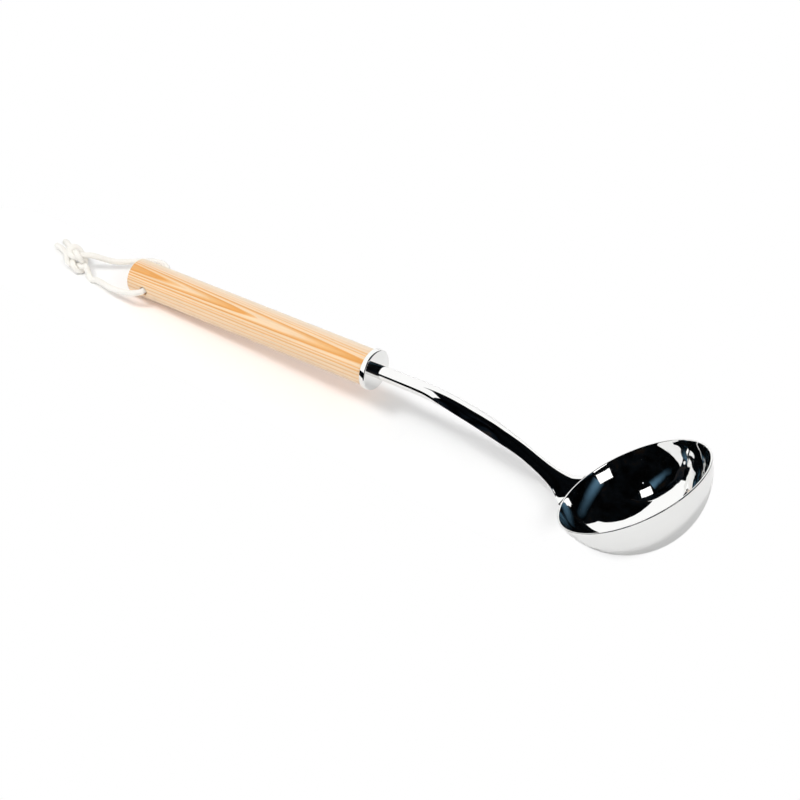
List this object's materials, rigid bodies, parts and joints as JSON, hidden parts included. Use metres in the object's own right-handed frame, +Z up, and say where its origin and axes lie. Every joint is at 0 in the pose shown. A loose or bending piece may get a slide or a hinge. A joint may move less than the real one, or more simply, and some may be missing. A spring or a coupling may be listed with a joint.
{
  "type": "sauna ladle",
  "caption": "Ladle with a polished steel bowl on a bent steel stem, a steel ferrule, a round pale wooden handle and a knotted cotton loop to hang it by.",
  "frame": {"origin": "on the surface that the ladle lies on, under the middle of the box round its rigid pieces", "axes": "+X along the ladle from the handle's butt to the bowl, +Y to its left, +Z up from the surface it lies on"},
  "size_m": [0.469, 0.0898, 0.0614],
  "materials": {
    "polished_steel": "mirror-polished stainless steel",
    "pale_pine": "smooth, unlacquered, with orange latewood streaks",
    "cotton_cord": "off-white braided cotton"
  },
  "bodies": {
    "ladle": {"bowl": "polished_steel", "stem": "polished_steel", "ferrule": "polished_steel", "handle": "pale_pine"},
    "hanging_loop": {"cord_loop": "cotton_cord", "cord_knot": "cotton_cord", "cord_tail_1": "cotton_cord", "cord_tail_2": "cotton_cord"}
  },
  "joints": [
    {"name": "loop_swing", "type": "hinge", "parent": "ladle", "child": "hanging_loop", "pos_m": [-0.18339, 0, 0.01218], "axis": [0, 1, 0], "range_deg": [0, 160]}
  ]
}
